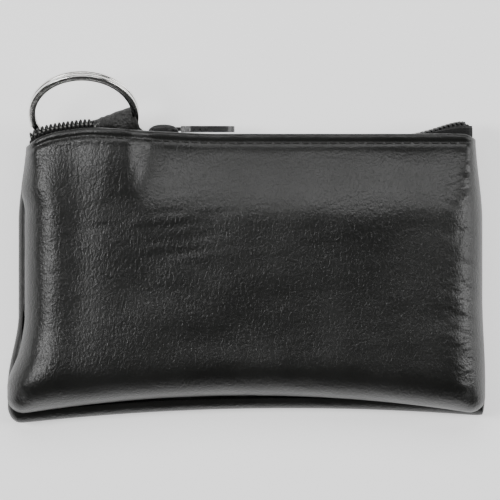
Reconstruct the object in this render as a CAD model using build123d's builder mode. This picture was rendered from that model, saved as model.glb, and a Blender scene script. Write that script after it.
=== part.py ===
from build123d import *
import math
import os

os.makedirs("parts", exist_ok=True)

# A small zipped coin purse lying on its back panel.
# +X runs along the zip, +Y from the bottom seam up to the zip, +Z out of the front panel.
# The origin is on the face the purse rests on, under the middle of the back panel.

LEATHER = 1.0          # thickness of one layer of leather
HEM = 1.6              # the two layers of a turned hem, pressed
HEM_DEPTH = 8.0        # how far a hem's turned-in layer reaches down inside
SEAM_Z = 7.0           # height of the seam that joins the two panels
ZIP_Z = 9.5            # height of the closed zip's centre line
FRONT_HEIGHT = 13.0    # rise of the stuffed front panel above the seam
BACK_DEPTH = 7.0       # drop of the back panel below the seam
FRONT_ENDS = (-61.6, 64.0)
BACK_ENDS = (-64.6, 64.8)
ALLOWANCE = 4.0        # seam allowance turned in round the sides and bottom
TAPE = 0.45            # thickness of the woven zip tape
GAP = 0.12             # slack between a tape and the hem it is sewn to
TAPE_FLAP = 2.85       # tape from the hem's edge to the coil
COIL_WIDTH = 1.9       # each nylon coil, drawn as a band where its turns would be
COIL_HEIGHT = 1.45
COIL_REACH = 3.62      # from the hem's inner face to the middle of the coil
SLIDER_X = -22.4       # middle of the zip slider
RING_CENTRE = Vector(-43.9, 43.0, 15.0)
RING_TILT = 45.0
RING_RADIUS = 14.0     # to the middle of the wire
TAB_MIDDLE = Vector(-38.5, 43.25, 0.0)
TAB_TURN = 18.0        # the tab leans this far from straight across the purse
TAB_WIDTH = 12.5

# Each bottom edge is an arch: its height at the crown, its fall at the corners, the crown's place along
# the purse and half its span.
FRONT_ARCH = (-33.4, 5.0, 1.0, 62.0)
BACK_ARCH = (-36.3, 3.7, 12.0, 70.0)
# Height of the hems' folds along the purse (x, y): level over the zip, humped over the open end.
HEM_LINE = [(-66, 31.0), (-57, 36.4), (-53, 38.0), (-43, 39.4), (-34, 38.9), (-12, 37.7), (61, 37.7),
            (66, 34.5)]
# Inner face of each hem along the purse (x, z), spread apart where the zip is open.
FRONT_MOUTH = [(-66, 8.6), (-62, 9.6), (-60, 12.6), (-57.5, 15.0), (-52, 16.8), (-44, 18.4), (-36, 19.2),
               (-31, 19.2), (-26.5, 15.35), (-21, 14.1), (62, 14.1), (66, 12.0)]
BACK_MOUTH = [(-66, 6.0), (-62, 5.4), (-57.5, 2.9), (-52, 2.45), (-31, 2.45), (-26.5, 3.65), (-21, 4.9),
              (62, 4.9), (66, 5.6)]
# Height of the tape's fold (x, y), its leg below the fold (x, length) and how far its flap stands up
# out of the zip's plane (x, degrees).
TAPE_FOLD = [(-61, 30.8), (-57, 34.2), (-53, 35.3), (-44, 36.5), (45, 36.5), (57, 39.2), (60, 39.2),
             (63, 38.0)]
TAPE_LEG = [(-61, 2.6), (-57, 3.4), (-44, 7.6), (63, 7.6)]
TAPE_STAND = [(-61, 89), (-42, 86), (-36, 75), (-31, 55), (-28.5, 25), (-26.5, 0), (63, 0)]


# Places along the purse at which a tape's section is drawn, close together where the mouth spreads.
TAPE_STATIONS = [-59.4, -59, -57.5, -55, -52, -48, -44, -40, -36, -33.5, -31, -28.5, -26.5, -24, -21, -10,
                 0, 10, 20, 30, 38, 45, 50, 54, 58, 60, 61.4]


def along(table, x):
    """Straight-line reading of a table at x."""
    if x <= table[0][0]:
        return table[0][1]
    for (x0, v0), (x1, v1) in zip(table, table[1:]):
        if x <= x1:
            return v0 + (v1 - v0) * (x - x0) / (x1 - x0)
    return table[-1][1]


def ease(t):
    """Smooth step from 0 to 1."""
    t = max(0.0, min(1.0, t))
    return t * t * (3 - 2 * t)


def bottom(arch, x):
    """Height of an arched bottom edge at x."""
    crown, fall, middle, half = arch
    return crown - fall * ((x - middle) / half) ** 2


def puff(x, ends):
    """Share of the full thickness a panel has at x, falling to the side seams."""
    middle = (ends[0] + ends[1]) / 2
    half = (ends[1] - ends[0]) / 2
    share = max(0.0, min(1.0, abs(x - middle) / half) - 0.35) / 0.65
    return max(0.0, 1 - share ** 4) ** 0.5


def roll(distance, width):
    """Share of the full thickness at a distance up from the bottom edge."""
    left = max(0.0, 1 - distance / width)
    return max(0.0, 1 - left ** 3) ** 0.5


def front_z(x, y):
    """Outer face of the front panel."""
    low = bottom(FRONT_ARCH, x)
    top = along(HEM_LINE, x)
    body = SEAM_Z + 0.6 + FRONT_HEIGHT * puff(x, FRONT_ENDS) * roll(y - low, 15.0)
    hem = along(FRONT_MOUTH, x) + TAPE + GAP + HEM
    blend = ease((y - (top - 24)) / 22)
    return body * (1 - blend) + hem * blend


def back_z(x, y):
    """Outer face of the back panel."""
    low = bottom(BACK_ARCH, x)
    top = along(HEM_LINE, x)
    body = SEAM_Z - 0.6 - (BACK_DEPTH - 0.6) * puff(x, BACK_ENDS) * roll(y - low, 9.0)
    hem = along(BACK_MOUTH, x) - TAPE - GAP - HEM
    blend = ease((y - (top - 20)) / 18)
    return body * (1 - blend) + hem * blend


def panel_stations(ends):
    """Places along the purse at which a panel's section is drawn."""
    inner = [x for x in [-60] + TAPE_STATIONS[1:] if ends[0] + 1.3 < x < ends[1] - 1.3]
    return [ends[0] + LEATHER] + inner + [ends[1] - LEATHER]


def face_points(x, side):
    """Points up one panel's outer face at x, from the seam to the hem."""
    face = front_z if side > 0 else back_z
    low = bottom(FRONT_ARCH if side > 0 else BACK_ARCH, x)
    top = along(HEM_LINE, x)
    rises = [0.0, 0.4, 1.2, 2.6, 4.6, 7.2, 10.5, 15.0, 24.0, 36.0]
    drops = [24, 18, 13, HEM_DEPTH + 0.6, HEM_DEPTH, 3, 0]
    places = [low + rise for rise in rises] + [top - drop for drop in drops]
    return [(y, face(x, y)) for y in places]


def wall_section(x, side):
    """Section of one panel at x: skin, turned hem and the seam allowance along the bottom."""
    outer = face_points(x, side)
    low = outer[0][0]
    floor = SEAM_Z + side * LEATHER
    limit = floor + side * 0.3
    inner = []
    for y, z in reversed(outer[3:]):
        hem = outer[-1][0] - y <= HEM_DEPTH + 0.1
        lifted = y + LEATHER * max(0.0, 1 - (y - low) / 12)
        depth = z - side * (HEM if hem else LEATHER)
        inner.append((lifted, max(depth, limit) if side > 0 else min(depth, limit)))
    tail = low + 0.6 + ALLOWANCE + 1.2
    allowance = [(low + LEATHER, floor + side * 0.15), (tail, floor), (tail, SEAM_Z)]
    return [(low, SEAM_Z)] + outer + inner + allowance


def cap_section(x, side):
    """Section of one panel's closed end at x, filled down to the seam."""
    outer = face_points(x, side)
    return [(outer[0][0], SEAM_Z)] + outer + [(outer[-1][0], SEAM_Z)]


SIDE_SEAM = (FRONT_ENDS[0] + LEATHER + ALLOWANCE, FRONT_ENDS[1] - LEATHER - ALLOWANCE)
SIDE_LOW = -34.0
SIDE_HIGH = 25.0


def side_allowances(ends):
    """Outlines in plan of the allowance strips turned in down the two sides of a panel."""
    left = (ends[0] + LEATHER / 2, SIDE_SEAM[0])
    right = (SIDE_SEAM[1], ends[1] - LEATHER / 2)
    return [[(a, SIDE_LOW), (b, SIDE_LOW), (b, SIDE_HIGH), (a, SIDE_HIGH)] for a, b in (left, right)]


with BuildPart() as front_panel:
    for x in panel_stations(FRONT_ENDS):
        with BuildSketch(Plane.YZ.offset(x)):
            Polygon(*wall_section(x, 1), align=None)
    loft(ruled=True)
    for x, outward in ((FRONT_ENDS[0] + LEATHER, -LEATHER), (FRONT_ENDS[1] - LEATHER, LEATHER)):
        with BuildSketch(Plane.YZ.offset(x)):
            Polygon(*cap_section(x, 1), align=None)
        extrude(amount=outward)
    for strip in side_allowances(FRONT_ENDS):
        with BuildSketch(Plane.XY.offset(SEAM_Z)):
            Polygon(*strip, align=None)
        extrude(amount=LEATHER)
front_panel.part.label = "front_panel"

with BuildPart() as back_panel:
    for x in panel_stations(BACK_ENDS):
        with BuildSketch(Plane.YZ.offset(x)):
            Polygon(*wall_section(x, -1), align=None)
    loft(ruled=True)
    for x, outward in ((BACK_ENDS[0] + LEATHER, -LEATHER), (BACK_ENDS[1] - LEATHER, LEATHER)):
        with BuildSketch(Plane.YZ.offset(x)):
            Polygon(*cap_section(x, -1), align=None)
        extrude(amount=outward)
    for strip in side_allowances(BACK_ENDS):
        with BuildSketch(Plane.XY.offset(SEAM_Z - LEATHER)):
            Polygon(*strip, align=None)
        extrude(amount=LEATHER)
back_panel.part.label = "back_panel"


def flap_frame(x, side):
    """Fold point of the tape at x, and the direction its coil edge points, as (y, z) pairs."""
    fold = (along(TAPE_FOLD, x), along(FRONT_MOUTH if side > 0 else BACK_MOUTH, x))
    stand = math.radians(along(TAPE_STAND, x))
    return fold, (math.sin(stand), -side * math.cos(stand)), (math.cos(stand), side * math.sin(stand))


def tape_section(x, side):
    """Section of one zip tape: a flap standing to the coil, and a leg down inside the hem."""
    fold, out, up = flap_frame(x, side)
    stand = math.radians(along(TAPE_STAND, x))
    back = -TAPE * (1 - math.sin(stand)) / math.cos(stand)
    corner = (fold[0] + TAPE * up[0] + back * out[0], fold[1] + side * TAPE)
    leg = fold[0] - along(TAPE_LEG, x)
    points = [(leg, fold[1]), (leg, fold[1] + side * TAPE), corner,
              (fold[0] + TAPE_FLAP * out[0] + TAPE * up[0], fold[1] + TAPE_FLAP * out[1] + TAPE * up[1]),
              (fold[0] + TAPE_FLAP * out[0], fold[1] + TAPE_FLAP * out[1]), fold]
    return points


with BuildPart() as front_tape:
    for x in TAPE_STATIONS:
        with BuildSketch(Plane.YZ.offset(x)):
            Polygon(*tape_section(x, 1), align=None)
    loft(ruled=True)
front_tape.part.label = "front_tape"

with BuildPart() as back_tape:
    for x in TAPE_STATIONS:
        with BuildSketch(Plane.YZ.offset(x)):
            Polygon(*tape_section(x, -1), align=None)
    loft(ruled=True)
back_tape.part.label = "back_tape"


COIL_STATIONS = [-58.9, -57.5] + TAPE_STATIONS[3:-1]


def coil_section(x, side, reach, lift, length, height):
    """Eight-sided section across one coil, or across the thread row on its back, at x."""
    fold, out, up = flap_frame(x, side)
    corners = [(-0.5, -0.25), (-0.3, -0.5), (0.3, -0.5), (0.5, -0.25), (0.5, 0.25), (0.3, 0.5), (-0.3, 0.5),
               (-0.5, 0.25)]
    points = []
    for a, b in corners:
        go = reach + a * length
        rise = TAPE / 2 + lift + b * height
        points.append((fold[0] + go * out[0] + rise * up[0], fold[1] + go * out[1] + rise * up[1]))
    return points


with BuildPart() as front_coil:
    for x in COIL_STATIONS:
        with BuildSketch(Plane.YZ.offset(x)):
            Polygon(*coil_section(x, 1, COIL_REACH, 0.0, COIL_WIDTH, COIL_HEIGHT), align=None)
    loft(ruled=True)
front_coil.part.label = "front_coil"

with BuildPart() as back_coil:
    for x in COIL_STATIONS:
        with BuildSketch(Plane.YZ.offset(x)):
            Polygon(*coil_section(x, -1, COIL_REACH, 0.0, COIL_WIDTH, COIL_HEIGHT), align=None)
    loft(ruled=True)
back_coil.part.label = "back_coil"

# Row of stitches that holds each coil to its tape, lying along the back of the coil.
with BuildPart() as front_coil_thread:
    for x in COIL_STATIONS:
        with BuildSketch(Plane.YZ.offset(x)):
            Polygon(*coil_section(x, 1, COIL_REACH - 0.3, COIL_HEIGHT / 2, 0.5, 0.2), align=None)
    loft(ruled=True)
front_coil_thread.part.label = "front_coil_thread"

with BuildPart() as back_coil_thread:
    for x in COIL_STATIONS:
        with BuildSketch(Plane.YZ.offset(x)):
            Polygon(*coil_section(x, -1, COIL_REACH - 0.3, COIL_HEIGHT / 2, 0.5, 0.2), align=None)
    loft(ruled=True)
back_coil_thread.part.label = "back_coil_thread"


def stitch_plane(face, x):
    """Plane across one topstitch, drawn along the hem on the leather's face."""
    y = along(HEM_LINE, x) - 2.5
    here = Vector(x, y, face(x, y))
    there = Vector(x + 0.1, along(HEM_LINE, x + 0.1) - 2.5, face(x + 0.1, along(HEM_LINE, x + 0.1) - 2.5))
    return Plane(origin=here, z_dir=there - here)


# Topstitches along each hem, each a short thread lying half in the leather.
with BuildPart() as front_topstitch:
    for i in range(47):
        with BuildSketch(stitch_plane(front_z, -57.5 + 2.5 * i)):
            Circle(0.25)
    extrude(amount=0.95, both=True)
front_topstitch.part.label = "front_topstitch"

with BuildPart() as back_topstitch:
    for i in range(47):
        with BuildSketch(stitch_plane(back_z, -57.5 + 2.5 * i)):
            Circle(0.25)
    extrude(amount=0.95, both=True)
back_topstitch.part.label = "back_topstitch"

# The seam's stitches pass through both allowances, round the sides and the bottom.
with BuildPart() as seam_thread:
    in_from_edge = 2.6
    spots = [(FRONT_ENDS[0] + in_from_edge, 22 - 4 * i) for i in range(14)]
    spots += [(FRONT_ENDS[1] - in_from_edge, 22 - 4 * i) for i in range(14)]
    spots += [(x, bottom(FRONT_ARCH, x) + in_from_edge) for x in range(-56, 60, 4)]
    with BuildSketch(Plane.XY.offset(SEAM_Z - 1.3)):
        with Locations(*spots):
            Circle(0.25)
    extrude(amount=2.6)
seam_thread.part.label = "seam_thread"

# Zip slider: two plates with turned-in flanges, a wedge between them and a bridge on top.
SLIDER_PLAN = [(-4.1, 3.2), (-3.3, 3.9), (0.3, 3.6), (3.2, 2.7), (4.1, 2.3)]
CHANNEL_PLAN = [(-4.4, 3.4), (-3.3, 3.4), (0.3, 2.95), (3.2, 2.15), (4.4, 2.15)]


def mirrored(points):
    """Closed outline from its upper half."""
    return points + [(x, -z) for x, z in reversed(points)]


def across_zip(height):
    """Plane level with the zip tape at a height along +Y, drawn in (x, z) about the slider."""
    return Plane(origin=(SLIDER_X, height, ZIP_Z), x_dir=(1, 0, 0), z_dir=(0, -1, 0))


PULL_AXIS_Y = 39.15
with BuildPart() as slider:
    for height, thickness in ((38.5, 0.8), (35.8, 0.85)):
        with BuildSketch(across_zip(height)):
            Polygon(*mirrored(SLIDER_PLAN), align=None)
        extrude(amount=thickness)
    for height, thickness in ((37.7, 0.5), (36.25, 0.45)):
        with BuildSketch(across_zip(height)):
            Polygon(*mirrored(SLIDER_PLAN), align=None)
            Polygon(*mirrored(CHANNEL_PLAN), align=None, mode=Mode.SUBTRACT)
        extrude(amount=thickness)
    with BuildSketch(across_zip(37.75)):
        Polygon((-4.1, 0.55), (-4.1, -0.55), (-2.2, -0.12), (-2.2, 0.12), align=None)
    extrude(amount=2.0)
    with BuildSketch(Plane(origin=(SLIDER_X, 38.45, ZIP_Z), x_dir=(1, 0, 0), z_dir=(0, 0, 1))):
        with BuildLine():
            Spline((-3.7, 0), (-2.6, 1.35), (0, 1.95), (2.6, 1.35), (3.7, 0))
            Line((3.7, 0), (2.6, 0))
            Spline((2.6, 0), (1.9, 0.85), (0, 1.3), (-1.9, 0.85), (-2.6, 0))
            Line((-2.6, 0), (-3.7, 0))
        make_face()
    extrude(amount=0.9, both=True)
slider.part.label = "slider"

# Flat pull lying along the zip, with an eye whose cross bar turns under the slider's bridge.
PULL_X = SLIDER_X + 0.4
with BuildPart() as pull:
    with BuildSketch(Plane(origin=(PULL_X, PULL_AXIS_Y, ZIP_Z), x_dir=(1, 0, 0), z_dir=(0, 0, 1))):
        Circle(0.48)
    extrude(amount=2.0, both=True)
    with BuildSketch(Plane(origin=(PULL_X, PULL_AXIS_Y + 0.48, ZIP_Z), x_dir=(1, 0, 0), z_dir=(0, -1, 0))):
        with Locations((2.2, 1.55), (2.2, -1.55)):
            Rectangle(5.2, 0.9)
    extrude(amount=0.96)
    with BuildSketch(Plane(origin=(PULL_X, 39.95, ZIP_Z), x_dir=(1, 0, 0), z_dir=(0, -1, 0))):
        with BuildLine():
            Polyline((4.3, 2.0), (7.0, 2.6), (16.3, 2.6))
            ThreePointArc((16.3, 2.6), (18.9, 0), (16.3, -2.6))
            Polyline((16.3, -2.6), (7.0, -2.6), (4.3, -2.0), (4.3, 2.0))
        make_face()
    extrude(amount=1.6)
pull.part.label = "pull"

# Split key ring: two flat turns of wire lying against each other.
with BuildPart() as key_ring:
    ring_plane = Plane(origin=RING_CENTRE, x_dir=(1, 0, 0),
                       z_dir=(0, -math.sin(math.radians(RING_TILT)), math.cos(math.radians(RING_TILT))))
    with BuildSketch(ring_plane.offset(-1.3)):
        Circle(RING_RADIUS + 1.0)
        Circle(RING_RADIUS - 1.0, mode=Mode.SUBTRACT)
    extrude(amount=2.6)
    with BuildSketch(ring_plane.offset(-0.06)):
        Circle(RING_RADIUS + 1.2)
        Circle(RING_RADIUS + 0.75, mode=Mode.SUBTRACT)
    extrude(amount=0.12, mode=Mode.SUBTRACT)
    chamfer(key_ring.edges().filter_by(GeomType.CIRCLE).group_by(SortBy.LENGTH)[-1], 0.2)
key_ring.part.label = "key_ring"

# Key tab: a strap of leather folded into a loop that follows the ring from side to side.
# Each outline is drawn across the strap, as (distance up the strap, height).
LOOP_LEFT = [(-11.8, 3.25), (-5.9, 3.25), (-0.9, 5.8), (-0.9, 7.2), (-5.0, 8.6), (-11.8, 8.0)]
LOOP_RIGHT = [(-9.6, 6.0), (-5.0, 7.5), (-0.9, 12.4), (-0.9, 15.0), (-4.8, 15.1), (-9.6, 10.6)]
SKIN_LEFT = [(-12.2, 2.6), (-5.6, 2.6), (0.0, 5.6), (0.0, 7.6), (-4.8, 9.3), (-12.2, 8.7)]
SKIN_RIGHT = [(-10.0, 5.3), (-4.8, 6.8), (0.0, 12.0), (0.0, 15.7), (-5.1, 15.8), (-10.0, 11.3)]
ROOT_LEFT = [(-17.5, 4.0), (-12.1, 2.6), (-12.1, 8.7), (-17.5, 5.6)]
ROOT_RIGHT = [(-17.5, 4.6), (-9.9, 5.3), (-9.9, 11.3), (-17.5, 6.2)]
tab_across = Vector(math.cos(math.radians(TAB_TURN)), math.sin(math.radians(TAB_TURN)), 0)
tab_along = Vector(-math.sin(math.radians(TAB_TURN)), math.cos(math.radians(TAB_TURN)), 0)


def tab_plane(distance):
    """Plane across the tab at a distance from its middle, drawn in (along the strap, z)."""
    return Plane(origin=TAB_MIDDLE + tab_across * distance, x_dir=tab_along, z_dir=tab_across)


with BuildPart() as key_tab:
    for left, right in ((SKIN_LEFT, SKIN_RIGHT), (ROOT_LEFT, ROOT_RIGHT)):
        for distance, points in ((-TAB_WIDTH / 2, left), (TAB_WIDTH / 2, right)):
            with BuildSketch(tab_plane(distance)):
                Polygon(*points, align=None)
        loft(ruled=True)
    for distance, points in ((-TAB_WIDTH / 2 - 0.01, LOOP_LEFT), (TAB_WIDTH / 2 + 0.01, LOOP_RIGHT)):
        with BuildSketch(tab_plane(distance)):
            Polygon(*points, align=None)
    loft(ruled=True, mode=Mode.SUBTRACT)
key_tab.part.label = "key_tab"

for built in (front_panel, back_panel, front_tape, back_tape, front_coil, back_coil, front_coil_thread,
              back_coil_thread, front_topstitch, back_topstitch, seam_thread, slider, pull, key_ring,
              key_tab):
    export_step(built.part, f"parts/{built.part.label}.step")
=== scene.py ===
import math
import bpy
import numpy as np
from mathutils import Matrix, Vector


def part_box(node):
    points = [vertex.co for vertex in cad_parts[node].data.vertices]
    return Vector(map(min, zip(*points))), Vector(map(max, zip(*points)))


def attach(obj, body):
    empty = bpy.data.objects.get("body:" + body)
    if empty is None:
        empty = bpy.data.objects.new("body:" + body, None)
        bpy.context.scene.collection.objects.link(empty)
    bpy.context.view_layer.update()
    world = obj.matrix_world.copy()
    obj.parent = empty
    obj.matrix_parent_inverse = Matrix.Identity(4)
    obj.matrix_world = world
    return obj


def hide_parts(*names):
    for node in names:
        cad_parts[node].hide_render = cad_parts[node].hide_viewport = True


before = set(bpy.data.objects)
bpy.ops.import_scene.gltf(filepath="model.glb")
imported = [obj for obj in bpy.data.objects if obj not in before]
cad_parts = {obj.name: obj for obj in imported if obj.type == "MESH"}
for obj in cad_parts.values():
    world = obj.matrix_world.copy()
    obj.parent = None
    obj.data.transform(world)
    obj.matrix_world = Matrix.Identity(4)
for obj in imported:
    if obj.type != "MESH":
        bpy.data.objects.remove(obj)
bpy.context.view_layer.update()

# Lengths below are millimetres until new_mesh() turns them into metres.
MM = 0.001
SEAM_Z = 7.0           # height of the seam between the two panels
ZIP_Z = 9.5            # height of the closed zip
LEATHER = 1.0          # one layer of leather
HEM = 1.6              # a turned hem, two layers pressed together
HEM_DEPTH = 8.5        # how far a hem reaches down inside
STITCH_DROP = 2.5      # topstitches below the hem's fold
STITCH_STEP = 2.5
TAPE = 0.42
TAPE_LEG = 7.6
COIL_REACH = 3.62      # from a tape's fold to the middle of its coil
COIL_LIFT = 0.225
TOOTH_STEP = 1.16      # from one turn of a coil to the next
PANEL_WIDTH, PANEL_HEIGHT = 126.0, 76.0


# ------------------------------------------------------------------ readings from the CAD frame
def edges_of(name):
    """A CAD node's edges as two arrays of end points."""
    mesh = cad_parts[name].data
    points = np.array([v.co[:] for v in mesh.vertices]) / MM
    pairs = np.array([e.vertices[:] for e in mesh.edges])
    return points[pairs[:, 0]], points[pairs[:, 1]]


def sections(name, places):
    """For each x, the (y, z) points where the node's edges cross the plane there."""
    a, b = edges_of(name)
    found = []
    for x in places:
        cut = (a[:, 0] - x) * (b[:, 0] - x) < 0
        share = ((x - a[cut, 0]) / (b[cut, 0] - a[cut, 0]))[:, None]
        found.append((a[cut] + (b[cut] - a[cut]) * share)[:, 1:])
    return found


def smooth(places, values, blur):
    """A smooth curve through readings, as a function of place."""
    step = 0.25
    grid = np.arange(-75, 75.01, step)
    reach = int(4 * blur / step)
    kernel = np.exp(-0.5 * (np.arange(-reach, reach + 1) * step / blur) ** 2)
    level = np.pad(np.interp(grid, places, values), reach, mode="edge")
    level = np.convolve(level, kernel / kernel.sum(), mode="valid")
    return lambda x: np.interp(x, grid, level)


def ease(t):
    """Smooth step from 0 to 1."""
    t = np.clip(t, 0, 1)
    return t * t * (3 - 2 * t)


def bump_at(value, middle, width):
    """Bell curve, 1 at the middle."""
    return np.exp(-((value - middle) / width) ** 2)


LOW_END, HIGH_END = (np.array(corner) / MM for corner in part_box("front_panel"))
PLACES = np.arange(LOW_END[0] + 0.13, HIGH_END[0], 0.9)
FRONT_CUTS = sections("front_panel", PLACES)
BACK_CUTS = sections("back_panel", PLACES)
hem_line = smooth(PLACES, [cut[:, 0].max() for cut in FRONT_CUTS], 1.6)
front_low = smooth(PLACES, [cut[:, 0].min() for cut in FRONT_CUTS], 1.6)
back_low = smooth(PLACES, [cut[:, 0].min() for cut in BACK_CUTS], 1.6)


def hem_faces(cuts, choose):
    """Outer face of a hem at its fold, one reading for each section."""
    return [choose(cut[cut[:, 0] > cut[:, 0].max() - 0.05][:, 1]) for cut in cuts]


front_hem_z = smooth(PLACES, hem_faces(FRONT_CUTS, np.max), 1.2)
back_hem_z = smooth(PLACES, hem_faces(BACK_CUTS, np.min), 1.2)

BACK_LEFT, BACK_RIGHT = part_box("back_panel")[0][0] / MM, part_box("back_panel")[1][0] / MM


def left_edge(y):
    """Left side of the purse, wide at its foot and pulled in above it."""
    return BACK_LEFT - 0.7 + 3.0 * ease((y + 31) / 20) + 2.3 * ease((y - 14) / 24)


def right_edge(y):
    """Right side of the purse."""
    return BACK_RIGHT + 0.6 - 0.8 * ease((y + 30) / 24) - 1.9 * ease((y - 14) / 24)


def front_left(y):
    """Left edge of the front panel, which shows the back panel's roll beside it."""
    return left_edge(y) + 0.2 + 1.8 * ease((24 - y) / 8) * ease((y + 31) / 10)


def front_right(y):
    """Right edge of the front panel, just inside the back panel's."""
    return right_edge(y) - 0.15


ZIP_LEFT, ZIP_RIGHT = float(front_left(36.0)), float(front_right(36.0))


def shut(x, width=4.0):
    """Share of its depth that the purse has at x along the zip, falling to nothing at the side seams."""
    inward = np.clip(np.minimum(x - ZIP_LEFT, ZIP_RIGHT - x) / width, 0, 1)
    return np.sqrt(1 - (1 - inward) ** 3)


def hump(x):
    """The closed zip rises to a ridge just before its right end."""
    return bump_at(x, 58, 6)


def tucked(x):
    """Beside the slider the open coil lies behind the hem."""
    return ease((x + 42) / 5) * ease((-25 - x) / 6)


COIL_BOX = [corner[0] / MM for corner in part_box("front_coil")]
COIL_PLACES = np.arange(COIL_BOX[0] + 0.05, COIL_BOX[1], 0.9)
# Degrees that each tape's flap stands up out of the zip's plane, where the mouth is open.
tape_stand = smooth([-61, -42, -36, -31, -28.5, -26.5, 63], [89, 86, 75, 55, 25, 0, 0], 0.8)

HUMP_ANGLE = 18.0      # degrees that the flaps lean up on the ridge near the zip's right end
HUMP_SETTLE = 0.3      # how far the tapes' folds drop there
TUCK_DEPTH = 3.2       # how far the front coil drops behind the hem beside the slider
END_DEPTH = 0.7        # the zip's ends are closed down as if they lay this much nearer the side seams
SEAM_LAYER = 0.6       # height of the tapes' folds above the seam where they run into it


def flap_directions(x, side):
    """Directions out along a tape's flap and up off it."""
    stand = np.radians(tape_stand(x) + HUMP_ANGLE * hump(x))
    zero = np.zeros_like(stand)
    out = np.stack([zero, np.sin(stand), -side * np.cos(stand)], axis=-1)
    up = np.stack([zero, np.cos(stand), side * np.sin(stand)], axis=-1)
    return out, up


def coil_line(name, side):
    """The line of a tape's fold, from the middle of the CAD coil, as a function of x."""
    middles = np.array([(cut.min(axis=0) + cut.max(axis=0)) / 2 for cut in sections(name, COIL_PLACES)])
    stand = np.radians(tape_stand(COIL_PLACES))
    fold_y = middles[:, 0] - COIL_REACH * np.sin(stand) - COIL_LIFT * np.cos(stand)
    fold_z = middles[:, 1] + side * (COIL_REACH * np.cos(stand) - COIL_LIFT * np.sin(stand))
    across, height = smooth(COIL_PLACES, fold_y, 0.9), smooth(COIL_PLACES, fold_z, 0.9)

    def fold(x):
        y = across(x) - HUMP_SETTLE * hump(x) - (TUCK_DEPTH * tucked(x) if side > 0 else 0)
        spread = 1 - (1 - math.cos(math.radians(HUMP_ANGLE))) * hump(x)
        z = ZIP_Z + (height(x) - ZIP_Z) * spread
        shut_share = shut(x + END_DEPTH * np.sign(x))
        return np.stack([x, y, SEAM_Z + SEAM_LAYER + (z - SEAM_Z - SEAM_LAYER) * shut_share], axis=-1)
    return fold


FOLDS = {1: coil_line("front_coil", 1), -1: coil_line("back_coil", -1)}


def flap(x, side):
    """A tape's fold, and the directions out along its flap and up off it."""
    out, up = flap_directions(x, side)
    return FOLDS[side](x), out, up


def noise(x, y, cell, seed):
    """Smooth value noise in the plane, from -1 to 1."""
    lattice = np.random.default_rng(seed).uniform(-1, 1, (400, 400))
    px, py = np.asarray(x) / cell[0] + 200.0, np.asarray(y) / cell[1] + 200.0
    ix, iy = np.floor(px).astype(int), np.floor(py).astype(int)
    fx, fy = ease(px - ix), ease(py - iy)
    ix, iy = np.clip(ix, 0, 398), np.clip(iy, 0, 398)
    low = lattice[ix, iy] * (1 - fx) + lattice[ix + 1, iy] * fx
    high = lattice[ix, iy + 1] * (1 - fx) + lattice[ix + 1, iy + 1] * fx
    return low * (1 - fy) + high * fy


# ------------------------------------------------------------------ mesh helpers
def new_mesh(name, verts, faces, material, shade=True):
    """An object from points in millimetres."""
    mesh = bpy.data.meshes.new(name)
    mesh.from_pydata([tuple(v) for v in np.asarray(verts, float) * MM], [], faces)
    mesh.validate()
    mesh.materials.append(material)
    mesh.polygons.foreach_set("use_smooth", [shade] * len(mesh.polygons))
    mesh.update()
    thing = bpy.data.objects.new(name, mesh)
    bpy.context.scene.collection.objects.link(thing)
    return thing


def join(parts):
    """One list of points and faces out of several."""
    verts, faces, base = [], [], 0
    for points, sides in parts:
        verts.append(points)
        faces += [tuple(q + base for q in face) for face in sides]
        base += len(points)
    return np.concatenate(verts), faces


def tube(rows, closed=False):
    """A skin round rows of points, capped unless it closes on itself."""
    n, m = len(rows), len(rows[0])
    faces = []
    for i in range(n if closed else n - 1):
        k = (i + 1) % n
        faces += [(i * m + j, i * m + (j + 1) % m, k * m + (j + 1) % m, k * m + j) for j in range(m)]
    if not closed:
        faces += [tuple(range(m - 1, -1, -1)), tuple((n - 1) * m + j for j in range(m))]
    return np.concatenate(rows), faces


def sweep(points, first, second, section):
    """A tube along points, its section drawn on the two directions given at each."""
    return tube([p + np.outer(section[:, 0], a) + np.outer(section[:, 1], b)
                 for p, a, b in zip(points, first, second)])


def oval(width, height, sides, square=1.0):
    """Closed section, from round to nearly square as the power falls."""
    turn = np.arange(sides) * 2 * math.pi / sides
    c, s = np.cos(turn), np.sin(turn)
    across, up = np.sign(c) * np.abs(c) ** square, np.sign(s) * np.abs(s) ** square
    return np.stack([width * across, height * up], axis=1)


def normals_of(grid):
    """Unit normals of a grid of points."""
    n = np.cross(np.gradient(grid, axis=0), np.gradient(grid, axis=1))
    return n / np.maximum(np.linalg.norm(n, axis=2, keepdims=True), 1e-9)


def skin(grid, normals, thick, arc=6):
    """A closed sheet: outer grid, inner face at its thickness, and a round fold along the top row."""
    inner = grid - normals * thick[..., None]
    rise = np.gradient(grid, axis=1)[:, -1]
    rise /= np.linalg.norm(rise, axis=1, keepdims=True)
    radius, middle = thick[:, -1, None] / 2, (grid[:, -1] + inner[:, -1]) / 2
    turns = [math.pi * k / arc for k in range(1, arc)]
    fold = [middle + radius * (normals[:, -1] * math.cos(a) + rise * math.sin(a)) for a in turns]
    up = grid.shape[1]
    rows = [grid[:, j] for j in range(up)] + fold + [inner[:, j] for j in reversed(range(up))]
    verts, faces = tube(list(np.stack(rows, axis=1)))
    return verts, faces


# ------------------------------------------------------------------ materials
def principled(name, colour, roughness, metallic=0.0, specular=0.5):
    """A plain material, with its node tree and its shader."""
    material = bpy.data.materials.new(name)
    material.use_nodes = True
    shader = material.node_tree.nodes["Principled BSDF"]
    shader.inputs["Base Color"].default_value = (*colour, 1)
    shader.inputs["Roughness"].default_value = roughness
    shader.inputs["Metallic"].default_value = metallic
    shader.inputs["Specular IOR Level"].default_value = specular
    return material, material.node_tree, shader


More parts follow.
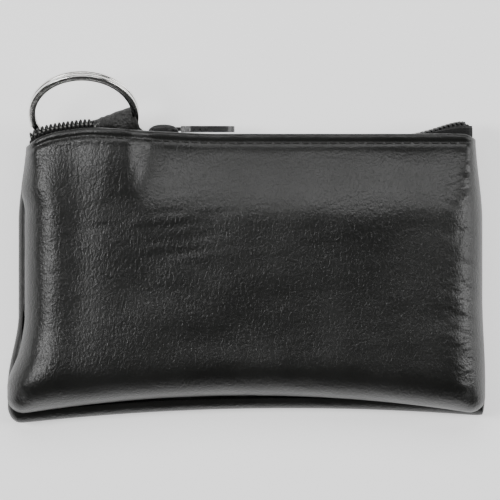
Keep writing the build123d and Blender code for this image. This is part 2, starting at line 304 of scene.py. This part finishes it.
def texture(tree, kind, where, **values):
    """A procedural texture read at the given coordinates."""
    made = tree.nodes.new(kind)
    for key, value in values.items():
        made.inputs[key].default_value = value
    tree.links.new(where, made.inputs["Vector"])
    return made


def between(tree, source, low, high, a, b):
    """A value that goes from a to b as source goes from low to high."""
    made = tree.nodes.new("ShaderNodeMapRange")
    for key, value in (("From Min", low), ("From Max", high), ("To Min", a), ("To Max", b)):
        made.inputs[key].default_value = value
    tree.links.new(source, made.inputs["Value"])
    return made.outputs["Result"]


def raised(tree, height, strength, distance, below=None):
    """A bump, laid over another one if given."""
    made = tree.nodes.new("ShaderNodeBump")
    made.inputs["Strength"].default_value = strength
    made.inputs["Distance"].default_value = distance
    tree.links.new(height, made.inputs["Height"])
    if below:
        tree.links.new(below, made.inputs["Normal"])
    return made.outputs["Normal"]


def object_coordinates(tree, scale=(1, 1, 1)):
    """Coordinates that stay with the piece, stretched by the scale."""
    place = tree.nodes.new("ShaderNodeTexCoord").outputs["Object"]
    mapping = tree.nodes.new("ShaderNodeMapping")
    mapping.inputs["Scale"].default_value = scale
    tree.links.new(place, mapping.inputs["Vector"])
    return mapping.outputs["Vector"]


def leather(name, colour, rough, grain, crease):
    """Grained leather: long creases, then pebbles between fine wrinkles, then pores, worn unevenly."""
    material, tree, shader = principled(name, colour, rough)
    here = object_coordinates(tree)
    level = object_coordinates(tree, (0.55, 1.5, 1.0))
    upright = object_coordinates(tree, (1.35, 0.6, 1.0))
    creases = texture(tree, "ShaderNodeTexNoise", level,
                      Scale=170.0, Detail=5.0, Roughness=0.6, Distortion=1.0)
    wrinkles = texture(tree, "ShaderNodeTexNoise", upright,
                       Scale=1000.0, Detail=2.0, Roughness=0.5, Distortion=0.9)
    pebbles = texture(tree, "ShaderNodeTexNoise", here,
                      Scale=1500.0, Detail=2.0, Roughness=0.5, Distortion=0.4)
    pores = texture(tree, "ShaderNodeTexNoise", here, Scale=3600.0, Detail=3.0)
    cut = between(tree, wrinkles.outputs["Fac"], 0.34, 0.62, 0.0, 1.0)
    normal = raised(tree, creases.outputs["Fac"], crease, 0.0007)
    normal = raised(tree, cut, 0.55 * grain, 0.00013, normal)
    normal = raised(tree, pebbles.outputs["Fac"], 0.8 * grain, 0.00022, normal)
    normal = raised(tree, pores.outputs["Fac"], 0.25 * grain, 0.00006, normal)
    tree.links.new(normal, shader.inputs["Normal"])
    wear = texture(tree, "ShaderNodeTexNoise", here, Scale=38.0, Detail=6.0, Roughness=0.6)
    tree.links.new(between(tree, wear.outputs["Fac"], 0.3, 0.7, rough - 0.05, rough + 0.07),
                   shader.inputs["Roughness"])
    tone = tree.nodes.new("ShaderNodeMix")
    tone.data_type = "RGBA"
    tone.inputs["A"].default_value = (*[c * 0.7 for c in colour], 1)
    tone.inputs["B"].default_value = (*[c * 1.3 for c in colour], 1)
    tree.links.new(between(tree, wear.outputs["Fac"], 0.25, 0.75, 0.0, 1.0), tone.inputs["Factor"])
    tree.links.new(tone.outputs["Result"], shader.inputs["Base Color"])
    return material


def woven(name, colour):
    """Zip tape: ribs along it and threads across them."""
    material, tree, shader = principled(name, colour, 0.8, specular=0.2)
    here = object_coordinates(tree)
    ribs = texture(tree, "ShaderNodeTexWave", here, Scale=330.0, Distortion=0.5)
    threads = texture(tree, "ShaderNodeTexWave", here, Scale=420.0, Distortion=0.5)
    threads.bands_direction = "Y"
    both = tree.nodes.new("ShaderNodeMath")
    both.operation = "MAXIMUM"
    tree.links.new(ribs.outputs["Fac"], both.inputs[0])
    tree.links.new(threads.outputs["Fac"], both.inputs[1])
    tree.links.new(raised(tree, both.outputs[0], 0.7, 0.00015), shader.inputs["Normal"])
    return material


def speckled(name, colour, rough, metallic, scale, depth, specular=0.5):
    """A smooth finish with small unevenness in its surface and its gloss."""
    material, tree, shader = principled(name, colour, rough, metallic, specular)
    grain = texture(tree, "ShaderNodeTexNoise", object_coordinates(tree),
                    Scale=scale, Detail=5.0, Roughness=0.65)
    tree.links.new(raised(tree, grain.outputs["Fac"], 0.5, depth), shader.inputs["Normal"])
    tree.links.new(between(tree, grain.outputs["Fac"], 0.3, 0.7, max(0.03, rough - 0.07), rough + 0.12),
                   shader.inputs["Roughness"])
    return material


PANEL_LEATHER = leather("purse_leather", (0.009, 0.0092, 0.0085), 0.36, 0.55, 0.18)
TAB_LEATHER = leather("tab_leather", (0.013, 0.013, 0.012), 0.45, 1.4, 0.7)
ZIP_TAPE = woven("zip_tape", (0.010, 0.010, 0.010))
NYLON = speckled("zip_nylon", (0.008, 0.008, 0.008), 0.36, 0.0, 2500.0, 0.00004)
THREAD = speckled("sewing_thread", (0.014, 0.014, 0.013), 0.5, 0.0, 5200.0, 0.00006)
COIL_THREAD = speckled("coil_thread", (0.20, 0.20, 0.19), 0.6, 0.0, 5200.0, 0.00006)
ENAMEL = speckled("black_enamel", (0.012, 0.012, 0.012), 0.30, 0.0, 1300.0, 0.00022, 0.7)
NICKEL = speckled("nickel_plate", (0.86, 0.85, 0.83), 0.18, 1.0, 900.0, 0.000004)
FLOOR_PAINT, _, floor_shader = principled("floor", (0.9, 0.9, 0.9), 0.9, specular=0.0)
floor_shader.inputs["Emission Color"].default_value = (1, 1, 1, 1)
floor_shader.inputs["Emission Strength"].default_value = 0.75


# ------------------------------------------------------------------ the two leather panels
def panel_plan(corner, across=420, up=250):
    """Grid over a panel with round bottom corners.

    Gives the side of the middle each point is on, its distances from the side and from the foot, its
    distance from the edge, and how much of that distance is measured from the side.
    """
    a, b = np.linspace(-1, 1, across + 1), np.linspace(0, 1, up + 1)
    u, v = np.meshgrid(0.25 * a + 0.75 * np.sin(math.pi / 2 * a), b ** 1.35, indexing="ij")
    side, foot = (1 - np.abs(u)) * PANEL_WIDTH / 2, v * PANEL_HEIGHT
    s, t = np.clip(1 - side / corner, 0, 1), np.clip(1 - foot / corner, 0, 1)
    s, t = s * np.sqrt(1 - t * t / 2), t * np.sqrt(1 - s * s / 2)
    inside, far = (s > 0) & (t > 0), np.hypot(s, t)
    side, foot = np.where(inside, corner * (1 - s), side), np.where(inside, corner * (1 - t), foot)
    near = np.minimum(side, foot)
    blend = np.clip(0.9 * (near - corner), 1e-6, 16)
    near -= np.clip(1 - np.abs(side - foot) / blend, 0, 1) ** 2 * blend / 4
    edge = np.where(inside, corner * (1 - far), near)
    lean = np.where(inside, s / np.maximum(far, 1e-9), (side < foot).astype(float))
    return np.sign(u), side, foot, np.maximum(edge, 0), lean


def place(half, side, foot, low, left, right, drop):
    """Turns plan distances into the purse's real outline."""
    x = half * (PANEL_WIDTH / 2 - side)
    share = (x + PANEL_WIDTH / 2) / PANEL_WIDTH
    for _ in range(3):
        y = low(x) + foot / PANEL_HEIGHT * (hem_line(x) - drop - low(x))
        x = left(y) + share * (right(y) - left(y))
    return x, y


def hem_thickness(x, y, edge):
    """Two layers at the hem, one below it, thinning to the seam."""
    thick = LEATHER + (HEM - LEATHER) * ease((y - (hem_line(x) - HEM_DEPTH)) / 1.2)
    thick = np.minimum(thick, 0.45 + edge * 0.45)
    thick[:, -1] = np.maximum(thick[:, -1], 0.9)
    return thick


SEAM_GAP = 0.35        # the front panel's edge lies this far above the seam
STUFFED = 13.2         # how far the stuffed front stands above its edge
ROLL_WIDTH = 12.5      # width of the rounded roll at the sides
LEFT_ROLL_EXTRA = 2    # the roll is this much wider at the left
HEM_ROLL_WIDTH = 4.0   # its width by the hem
FOOT_ROLL_WIDTH = 14.0
CORNER_BLEND = 5.0     # within this distance of the edge the roll follows the edge itself


def rounded_roll(side, foot, edge, width):
    """Share of the full thickness near the edge, its contours growing rounder inward at the corners."""
    a, b = np.clip(1 - side / width, 0, 1), np.clip(1 - foot / FOOT_ROLL_WIDTH, 0, 1)
    inward = (a ** 4 + b ** 4) ** 0.25
    at_edge = ease(edge / CORNER_BLEND)
    inward = inward * at_edge + (1 - np.clip(edge / width, 0, 1)) * (1 - at_edge)
    return np.sqrt(np.maximum(0, 1 - np.clip(inward, 0, 1) ** 3))


def front_height(x, y, side, foot, edge):
    """Outer face of the stuffed front panel, with its dents, creases and stitched groove."""
    top = hem_line(x)
    blend = ease((y - (top - 24)) / 22)
    width = ROLL_WIDTH + LEFT_ROLL_EXTRA * ease((-x - 40) / 15)
    roll = rounded_roll(side, foot, edge, width * (1 - blend) + HEM_ROLL_WIDTH * blend)
    rise = STUFFED * (1 - blend) + (front_hem_z(x) - SEAM_Z - SEAM_GAP) * blend
    z = SEAM_Z + SEAM_GAP + rise * roll
    field = ease(edge / 10)
    z += (0.34 * noise(x, y, (26, 15), 3) + 0.13 * noise(x, y, (9, 6), 4)) * field
    z -= 0.60 * bump_at(x, -46, 5.5) * ease((y + 38) / 30) * field
    middle = bump_at(x, -16, 32) * bump_at(y, 12, 13)
    z += 0.09 * noise(x + 0.5 * y, y - 0.12 * x, (11, 1.9), 5) * middle
    upper_left = bump_at(x, -33, 10) * bump_at(y, 27, 9)
    z += 0.07 * noise(x - 0.25 * y, y, (1.5, 7), 7) * upper_left
    right_rim = bump_at(x, 58, 4.5) * ease((y + 36) / 8) * ease((34 - y) / 8)
    z += (0.18 * noise(x, y + 0.35 * x, (6, 2.1), 6) + 0.09 * noise(x, y - 0.3 * x, (3, 1.0), 8)) * right_rim
    z += 0.09 * noise(x, y, (3.2, 5), 9) * bump_at(edge, 5, 4)
    line = y - (top - STITCH_DROP)
    z -= 0.28 * bump_at(line, 0.3, 0.45) * ease(edge / 3)
    z += 0.16 * bump_at(line, -1.1, 0.8) + 0.12 * bump_at(line, 1.5, 0.7)
    return z


FRONT_CORNER = 4.8     # radius of the front panel's bottom corners in plan


def front_panel_mesh():
    """The front panel's outer face as a grid, and its whole skin."""
    half, side, foot, edge, _ = panel_plan(FRONT_CORNER)
    x, y = place(half, side, foot, front_low, front_left, front_right, 0.8)
    grid = np.stack([x, y, front_height(x, y, side, foot, edge)], axis=2)
    return grid, skin(grid, normals_of(grid), hem_thickness(x, y, edge))


ROLL_RADIUS = 3.6      # half the depth of the roll along the back panel's edge
ROLL_START = math.radians(100)
ROLL_SPAN = 4.0        # width of the plan strip that becomes the roll
BACK_CORNER = 5.0      # radius of the back panel's bottom corners in plan
BACK_FOOT_DROP = 0.8   # the back panel hangs lower than the CAD's, as in the photo
LEFT_PRESS, RIGHT_PRESS = 0.72, 0.2  # how far the roll is pressed flat at each side
PRESSED_WITHIN = 8.0   # distance from the side where the pressing ends


def back_panel_mesh():
    """The back panel's outer face as a grid, rolled up along its edge, and its whole skin."""
    half, side, foot, edge, lean = panel_plan(BACK_CORNER)
    turn = ROLL_START + (math.radians(270) - ROLL_START) * np.clip(edge / ROLL_SPAN, 0, 1)
    inset = np.where(edge < ROLL_SPAN, ROLL_RADIUS * (1 + np.cos(turn)),
                     np.interp(edge, [ROLL_SPAN, BACK_CORNER, 90], [ROLL_RADIUS, BACK_CORNER, 90]))
    down = np.where(edge < ROLL_SPAN, 3.5 + 3.45 * np.sin(turn), 0.05)
    side, foot = side + (inset - edge) * lean, foot + (inset - edge) * np.sqrt(1 - lean ** 2)
    narrow = np.where(half > 0, RIGHT_PRESS, LEFT_PRESS)
    pressed = ROLL_RADIUS * narrow
    slope = (PRESSED_WITHIN - pressed) / (PRESSED_WITHIN - ROLL_RADIUS)
    beyond = np.where(side < PRESSED_WITHIN, pressed + (side - ROLL_RADIUS) * slope, side)
    side = np.where(side < ROLL_RADIUS, side * narrow, beyond)
    x, y = place(half, side, foot, lambda q: back_low(q) - BACK_FOOT_DROP, left_edge, right_edge, 1.1)
    blend = ease((y - (hem_line(x) - 20)) / 18)
    z = down + blend * (back_hem_z(x) + 0.05) * (1 - down / SEAM_Z)
    rest = ease((np.hypot(x / 46, (y + 2) / 26) - 0.6) / 0.4) * ease((edge - 9) / 8)
    z += 0.16 * (noise(x, y, (14, 9), 12) + 1) * rest
    z += 0.25 * bump_at(y - (hem_line(x) - STITCH_DROP - 0.3), 0.3, 0.4) * ease(edge / 3)
    grid = np.stack([x, y, z], axis=2)
    verts, faces = skin(grid, -normals_of(grid), hem_thickness(x, y, edge))
    return grid, (verts, [tuple(reversed(face)) for face in faces])


def allowance_mesh():
    """The seam allowances of both panels, stitched together just inside the edge."""
    inset, corner = 2.6, 4.0
    ys = np.linspace(24, -30, 40)
    xs = np.linspace(-54, 56, 60)
    down_left = [(front_left(y) + inset, y) for y in ys]
    foot = [(x, front_low(x) + inset) for x in xs]
    up_right = [(front_right(y) - inset, y) for y in ys[::-1]]
    flat = np.array(down_left + foot + up_right)
    for _ in range(12):
        flat[1:-1] = (flat[:-2] + 2 * flat[1:-1] + flat[2:]) / 4
    points = np.column_stack([flat, np.full(len(flat), SEAM_Z)])
    along = np.gradient(points, axis=0)
    along /= np.linalg.norm(along, axis=1, keepdims=True)
    across = np.cross(along, (0, 0, 1.0))
    up = np.tile((0, 0, 1.0), (len(points), 1))
    return sweep(points, across, up, oval(1.9, 0.95, 12, 0.45))


# ------------------------------------------------------------------ zip
def tape_mesh(side):
    """A tape folded over: a leg down inside the purse and a flap that carries the coil."""
    x = np.linspace(ZIP_LEFT + 1.0, ZIP_RIGHT - 1.0, 244)
    fold, out, up = flap(x, side)
    leg = TAPE_LEG * (0.35 + 0.65 * ease((x + 61) / 16))
    down, thick = np.array([0, -1.0, 0]), np.array([0, 0, side * TAPE])
    shares, reaches = (1.0, 0.6, 0.25, 0.06), (0.05, 0.5, 1.2, 1.9, 2.5, 3.0)
    rows = [fold + down * (leg * share)[:, None] + thick for share in shares]
    rows += [fold + out * go + up * TAPE for go in reaches]
    rows += [fold + out * go for go in reversed(reaches)]
    rows += [fold + down * (leg * share)[:, None] + thick * 0.05 for share in reversed(shares)]
    verts, faces = tube(list(np.stack(rows, axis=1)))
    return verts, faces if side > 0 else [tuple(reversed(face)) for face in faces]


def coil_mesh(side, turns=102, steps=18):
    """Nylon filament wound in flattened turns along the tape's edge, meshing with the other tape's."""
    t = np.linspace(0, turns, turns * steps + 1)
    a = 2 * math.pi * t
    x = COIL_BOX[0] + 0.4 + TOOTH_STEP * t + (0 if side > 0 else TOOTH_STEP / 2)
    fold, out, up = flap(x, side)
    reach = COIL_REACH + 0.10 + 1.0 * np.cos(a)
    lift = 0.24 + 0.56 * np.sin(a) * (1 + 0.18 * np.cos(a))
    points = fold + out * reach[:, None] + up * lift[:, None]
    along = np.gradient(points, axis=0)
    along /= np.linalg.norm(along, axis=1, keepdims=True)
    first = np.cross(along, (1.0, 0, 0))
    first /= np.linalg.norm(first, axis=1, keepdims=True)
    return sweep(points, first, np.cross(along, first), oval(0.42, 0.36, 8))


# Share of a stitch's half length, and its width there.
STITCH_PROFILE = ((-1, 0.25), (-0.93, 0.7), (-0.75, 1), (-0.25, 1),
                  (0.25, 1), (0.75, 1), (0.93, 0.7), (1, 0.25))


def stitch(middle, along, up, radius, arch=0.12):
    """One short thread with rounded ends, arched off the surface."""
    length = np.linalg.norm(along)
    along, up = along / length, up / np.linalg.norm(up)
    third = np.cross(along, up)
    rows = []
    for share, width in STITCH_PROFILE:
        centre = middle + along * (length / 2 * share) + up * arch * (1 - share * share)
        ring_points = oval(radius * width, radius * width * 0.85, 8)
        rows.append(centre + np.outer(ring_points[:, 0], third) + np.outer(ring_points[:, 1], up))
    return tube(rows)


def coil_stitches_mesh(side, turns=101):
    """Stitches that hold a coil to its tape, one over each turn."""
    parts = []
    for i in range(turns):
        x = np.array([COIL_BOX[0] + 0.9 + TOOTH_STEP * i + (0 if side > 0 else TOOTH_STEP / 2)])
        fold, out, up = (value[0] for value in flap(x, side))
        middle = fold + out * (COIL_REACH - 0.05) + up * 1.08
        parts.append(stitch(middle, np.array([0.42, 0, 0]) + out * 0.3, up, 0.22))
    return join(parts)


def topstitches_mesh(grid, side):
    """Row of stitches along a hem, sunk in their groove."""
    face = grid.reshape(-1, 3)
    parts = []
    for x in np.arange(ZIP_LEFT + 2.2, ZIP_RIGHT - 3.2, STITCH_STEP):
        ends = []
        for q in (x + 0.25, x + STITCH_STEP - 0.25):
            y = hem_line(q) - STITCH_DROP
            z = face[np.argmin((face[:, 0] - q) ** 2 + (face[:, 1] - y) ** 2), 2]
            ends.append(np.array([q, y, z + side * 0.05]))
        slant = np.array([0, -0.16, 0])
        parts.append(stitch((ends[0] + ends[1]) / 2, ends[1] - ends[0] + slant, np.array([0, 0, side]), 0.25))
    return join(parts)


def slider_mesh():
    """The CAD slider with the rounded cheeks of its top plate, which stand beside the pull's eye."""
    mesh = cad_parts["slider"].data
    low, high = (np.array(corner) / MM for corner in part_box("slider"))
    plates = (np.array([v.co[:] for v in mesh.vertices]) / MM, [tuple(f.vertices) for f in mesh.polygons])
    middle, half, base = (low[0] + high[0]) / 2, (high[0] - low[0]) / 2, high[1] - 1.9
    zip_z, parts = (low[2] + high[2]) / 2, [plates]
    for cheek in (-1, 1):
        rows = []
        for share in np.linspace(-0.97, 0.97, 25):
            rise = 1.75 * (1 - abs(share) ** 2.4) ** 0.6
            edge = oval(0.5, rise / 2 + 0.15, 12, 0.7)
            centre = np.array([middle + share * half, base + rise / 2 - 0.05, zip_z + cheek * 2.75])
            rows.append(centre + np.outer(edge[:, 0], (0, 0, 1)) + np.outer(edge[:, 1], (0, 1, 0)))
        parts.append(tube(rows))
    return join(parts)


# ------------------------------------------------------------------ split key ring and its leather tab
def split_ring_mesh():
    """Nearly two turns of flat wire, stepping from one layer to the other where it is split."""
    low, high = (np.array(corner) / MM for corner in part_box("key_ring"))
    centre, radius, tilt = (low + high) / 2, (high[0] - low[0]) / 2 - 1, math.radians(45)
    right, top = np.array([1.0, 0, 0]), np.array([0, math.cos(tilt), math.sin(tilt)])
    axis = np.cross(right, top)
    t = np.linspace(0, 1, 400)
    angle = math.radians(200) + t * math.radians(715)
    layer = -0.66 + 1.32 * ease((t - 0.46) / 0.08)
    outward = np.outer(np.cos(angle), right) + np.outer(np.sin(angle), top)
    points = centre + radius * outward + np.outer(layer, axis)
    return sweep(points, outward, np.tile(axis, (len(t), 1)), oval(0.95, 0.62, 20, 0.6))


TAB_TURN = math.radians(18)
TAB_HALF = 6.95
# Middle of the leather up the back layer, over the fold and down the front: (along the strap, height).
TAB_LEFT = [(-19, 4.2), (-12, 2.9), (-8, 2.8), (-4, 3.5), (-1.5, 5.0), (-0.2, 6.6), (-0.6, 7.3), (-2.5, 8.3),
            (-5.5, 8.8), (-9, 8.8), (-12.5, 8.0), (-19, 5.2)]
TAB_RIGHT = [(-19, 4.8), (-12, 5.2), (-8, 5.9), (-4, 8.6), (-1.5, 11.4), (-0.2, 14.0),
             (-0.5, 15.1), (-2.2, 15.9), (-5.0, 15.6), (-8.2, 13.4), (-12, 10.2), (-19, 5.8)]


def rounded_run(points, count=110):
    """Evenly spread points along a line, with its corners smoothed."""
    points = np.array(points)
    run = np.concatenate([[0], np.cumsum(np.linalg.norm(np.diff(points, axis=0), axis=1))])
    even = np.linspace(0, run[-1], count)
    kernel = np.exp(-0.5 * (np.arange(-6, 7) / 2.2) ** 2)
    lines = [np.pad(np.interp(even, run, points[:, k]), 6, mode="edge") for k in (0, 1)]
    return np.stack([np.convolve(line, kernel / kernel.sum(), mode="valid") for line in lines], axis=1)


def tab_mesh():
    """A strap folded into a loop through which the ring passes, wrinkled across its fold."""
    middle = np.array([-37.45, 43.15, 0.0])
    across = np.array([math.cos(TAB_TURN), math.sin(TAB_TURN), 0])
    along = np.array([-math.sin(TAB_TURN), math.cos(TAB_TURN), 0])
    left, right = rounded_run(TAB_LEFT), rounded_run(TAB_RIGHT)
    wide, run = np.meshgrid(np.linspace(-1, 1, 60), np.linspace(0, 1, 110), indexing="ij")
    share = ((wide + 1) / 2)[..., None]
    path = left[None] * (1 - share) + right[None] * share
    grid = middle + wide[..., None] * TAB_HALF * across + path[..., :1] * along
    grid = grid + path[..., 1:] * np.array([0, 0, 1])
    wrinkle = 0.15 * noise(wide * 7 + run * 9, run * 42 - wide * 3, (0.8, 3.4), 21)
    wrinkle += 0.11 * noise(wide * 7, run * 42, (2.2, 2.5), 22)
    normals = normals_of(grid)
    grid = grid + normals * (wrinkle * ease((1 - np.abs(wide)) / 0.2))[..., None]
    half = normals * 0.42
    rows = [np.concatenate([(grid + half)[i], (grid - half)[i][::-1]]) for i in range(len(grid))]
    return tube(rows)


# ------------------------------------------------------------------ pieces
front_grid, front_shape = front_panel_mesh()
back_grid, back_shape = back_panel_mesh()
front = new_mesh("front_leather", *front_shape, PANEL_LEATHER)
back = new_mesh("back_leather", *back_shape, PANEL_LEATHER)
front_tape = new_mesh("front_zip_tape", *tape_mesh(1), ZIP_TAPE)
back_tape = new_mesh("back_zip_tape", *tape_mesh(-1), ZIP_TAPE)
tab = new_mesh("leather_key_tab", *tab_mesh(), TAB_LEATHER)
POUCH_PIECES = (
    (front, "leather", "front_panel"), (back, "leather", "back_panel"),
    (front_tape, "tape", "front_tape"), (back_tape, "tape", "back_tape"),
    (new_mesh("front_zip_coil", *coil_mesh(1), NYLON), "nylon", "front_coil"),
    (new_mesh("back_zip_coil", *coil_mesh(-1), NYLON), "nylon", "back_coil"),
    (new_mesh("front_coil_stitching", *coil_stitches_mesh(1), COIL_THREAD), "thread", "front_coil_thread"),
    (new_mesh("back_coil_stitching", *coil_stitches_mesh(-1), COIL_THREAD), "thread", "back_coil_thread"),
    (new_mesh("front_topstitching", *topstitches_mesh(front_grid, 1), THREAD), "thread", "front_topstitch"),
    (new_mesh("back_topstitching", *topstitches_mesh(back_grid, -1), THREAD), "thread", "back_topstitch"),
    (tab, "leather", "key_tab"))
for piece, slot_name, node_name in POUCH_PIECES:
    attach(piece, "pouch")
    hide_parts(node_name)

allowances = new_mesh("seam_allowances", *allowance_mesh(), PANEL_LEATHER)
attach(allowances, "pouch")
ring = new_mesh("split_key_ring", *split_ring_mesh(), NICKEL)
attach(ring, "ring")
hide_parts("key_ring")
slider = new_mesh("zip_slider", *slider_mesh(), ENAMEL, shade=False)
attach(slider, "slider")
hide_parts("slider")


def soften(thing, width):
    """Rounded edges on a hard part, left to the renderer as a modifier."""
    edges = thing.modifiers.new("edges", "BEVEL")
    edges.width = width
    edges.segments = 3
    edges.limit_method = "ANGLE"


pull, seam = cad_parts["pull"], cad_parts["seam_thread"]
for thing, material in ((pull, ENAMEL), (seam, THREAD)):
    thing.data.materials.clear()
    thing.data.materials.append(material)
soften(pull, 0.00045)
soften(slider, 0.0002)
soften(tab, 0.00015)

# ------------------------------------------------------------------ floor, light and camera
HALF_FLOOR = 1500      # millimetres
FLOOR_Z = -0.05
floor_corners = [(-HALF_FLOOR, -HALF_FLOOR, FLOOR_Z), (HALF_FLOOR, -HALF_FLOOR, FLOOR_Z),
                 (HALF_FLOOR, HALF_FLOOR, FLOOR_Z), (-HALF_FLOOR, HALF_FLOOR, FLOOR_Z)]
new_mesh("floor", floor_corners, [(0, 1, 2, 3)], FLOOR_PAINT, shade=False)


def soft_box(name, location, size, power):
    """A rectangular soft light aimed at the purse."""
    data = bpy.data.lights.new(name, "AREA")
    data.shape = "RECTANGLE"
    data.size, data.size_y = size
    data.energy = power
    light = bpy.data.objects.new(name, data)
    light.location = location
    light.rotation_euler = (-Vector(location)).to_track_quat("-Z", "Y").to_euler()
    bpy.context.scene.collection.objects.link(light)


soft_box("upper_light", (0.05, 0.62, 0.85), (1.0, 0.40), 5.5)
soft_box("right_light", (0.75, 0.05, 0.42), (0.22, 0.70), 4.4)
soft_box("left_light", (-0.62, 0.10, 0.72), (0.25, 0.50), 5.6)
world = bpy.data.worlds.new("studio")
bpy.context.scene.world = world
world.use_nodes = True
world.node_tree.nodes["Background"].inputs["Color"].default_value = (1, 1, 1, 1)
world.node_tree.nodes["Background"].inputs["Strength"].default_value = 0.05

VIEW_WIDTH = 0.136     # width that the picture takes in at ZIP_LEVEL, in metres
CAMERA_HEIGHT = 0.91
ZIP_LEVEL = 0.010      # about the height of the closed zip
VIEW_MIDDLE = (0.00109, 0.00626)
camera = bpy.data.objects.new("camera", bpy.data.cameras.new("camera"))
bpy.context.scene.collection.objects.link(camera)
camera.location = (*VIEW_MIDDLE, CAMERA_HEIGHT)
camera.data.lens = camera.data.sensor_width * (CAMERA_HEIGHT - ZIP_LEVEL) / VIEW_WIDTH
camera.data.clip_start = 0.01
bpy.context.scene.camera = camera
